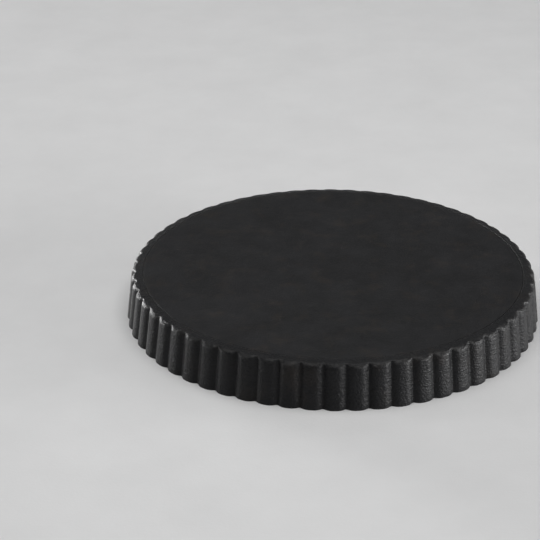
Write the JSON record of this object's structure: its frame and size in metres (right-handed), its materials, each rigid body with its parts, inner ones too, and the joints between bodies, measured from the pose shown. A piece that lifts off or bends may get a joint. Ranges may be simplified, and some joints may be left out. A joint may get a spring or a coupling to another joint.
{
  "type": "tart pan",
  "caption": "Shallow round tart pan with a fluted, flared wall, turned upside down, and a loose flat base that slides out of its ring.",
  "frame": {"origin": "middle of the plane the pan stands on when upside down: the plane of its rim", "axes": "+Z along the pan's axis, from the rim up to the base; flute crests lie on the X and Y axes"},
  "size_m": [0.28, 0.28, 0.031],
  "materials": {
    "ring_coating": "satin black non-stick coating on pressed steel, with a fine orange-peel grain",
    "base_coating": "satin black non-stick coating on sheet steel, with a fine orange-peel grain"
  },
  "bodies": {
    "ring": {"fluted_ring": "ring_coating"},
    "base": {"lift_out_base": "base_coating"}
  },
  "joints": [
    {"name": "base_slide", "type": "slide", "parent": "ring", "child": "base", "axis": [0, 0, -1], "range_m": [0, 0.0289]}
  ]
}
